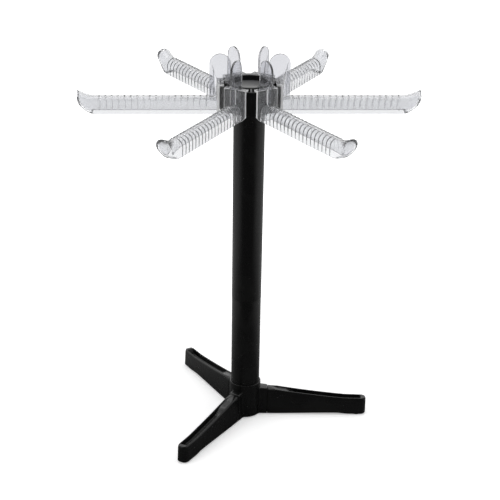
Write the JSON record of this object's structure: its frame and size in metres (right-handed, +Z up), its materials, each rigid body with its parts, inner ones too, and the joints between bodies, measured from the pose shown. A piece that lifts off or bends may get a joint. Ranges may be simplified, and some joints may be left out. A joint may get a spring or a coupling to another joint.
{
  "type": "pasta drying rack",
  "caption": "Three-legged stand for drying fresh pasta: clear ribbed arms hang by hooks on a turning head on top of a round column.",
  "frame": {"origin": "on the surface the rack stands on, under the column's axis", "axes": "+Z up along the column; +X along one leg"},
  "size_m": [0.361, 0.3282, 0.4205],
  "materials": {
    "clear_plastic": "clear, polished",
    "black_plastic": "satin gloss",
    "cap_plastic": "polished",
    "pad_rubber": "matt",
    "screw_steel": "zinc plated",
    "spring_steel": "drawn wire"
  },
  "bodies": {
    "stand": {"base_hub": "black_plastic", "lower_column": "black_plastic", "upper_column": "black_plastic", "top_plug": "black_plastic", "pivot_screw": "screw_steel", "pivot_washer": "screw_steel", "base_screw": "screw_steel", "base_washer": "screw_steel", "lock_spring": "spring_steel"},
    "head": {"head": "black_plastic", "head_cap": "cap_plastic"},
    "arm_1": {"arm_1": "clear_plastic"},
    "arm_2": {"arm_2": "clear_plastic"},
    "arm_3": {"arm_3": "clear_plastic"},
    "arm_4": {"arm_4": "clear_plastic"},
    "arm_5": {"arm_5": "clear_plastic"},
    "arm_6": {"arm_6": "clear_plastic"},
    "leg_1": {"leg_1": "black_plastic", "foot_pad_1": "pad_rubber"},
    "leg_2": {"leg_2": "black_plastic", "foot_pad_2": "pad_rubber"},
    "leg_3": {"leg_3": "black_plastic", "foot_pad_3": "pad_rubber"},
    "lock_button": {"lock_button": "black_plastic"}
  },
  "joints": [
    {"name": "head_turn", "type": "hinge", "parent": "stand", "child": "head", "pos_m": [0, 0, 0.363], "axis": [0, 0, 1], "continuous": true},
    {"name": "arm_1_lift", "type": "slide", "parent": "head", "child": "arm_1", "axis": [0, 0, 1], "range_m": [0, 0.045]},
    {"name": "arm_2_lift", "type": "slide", "parent": "head", "child": "arm_2", "axis": [0, 0, 1], "range_m": [0, 0.045]},
    {"name": "arm_3_lift", "type": "slide", "parent": "head", "child": "arm_3", "axis": [0, 0, 1], "range_m": [0, 0.045]},
    {"name": "arm_4_lift", "type": "slide", "parent": "head", "child": "arm_4", "axis": [0, 0, 1], "range_m": [0, 0.045]},
    {"name": "arm_5_lift", "type": "slide", "parent": "head", "child": "arm_5", "axis": [0, 0, 1], "range_m": [0, 0.045]},
    {"name": "arm_6_lift", "type": "slide", "parent": "head", "child": "arm_6", "axis": [0, 0, 1], "range_m": [0, 0.045]},
    {"name": "leg_1_unplug", "type": "slide", "parent": "stand", "child": "leg_1", "axis": [0, 0, -1], "range_m": [0, 0.032]},
    {"name": "leg_2_unplug", "type": "slide", "parent": "stand", "child": "leg_2", "axis": [0, 0, -1], "range_m": [0, 0.032]},
    {"name": "leg_3_unplug", "type": "slide", "parent": "stand", "child": "leg_3", "axis": [0, 0, -1], "range_m": [0, 0.032]},
    {"name": "button_press", "type": "slide", "parent": "stand", "child": "lock_button", "axis": [0.1219, 0.9925, 0], "range_m": [0, 0.0022], "stiffness_N_per_m": 300, "springref_m": -0.001, "deforming": ["lock_spring"]}
  ]
}
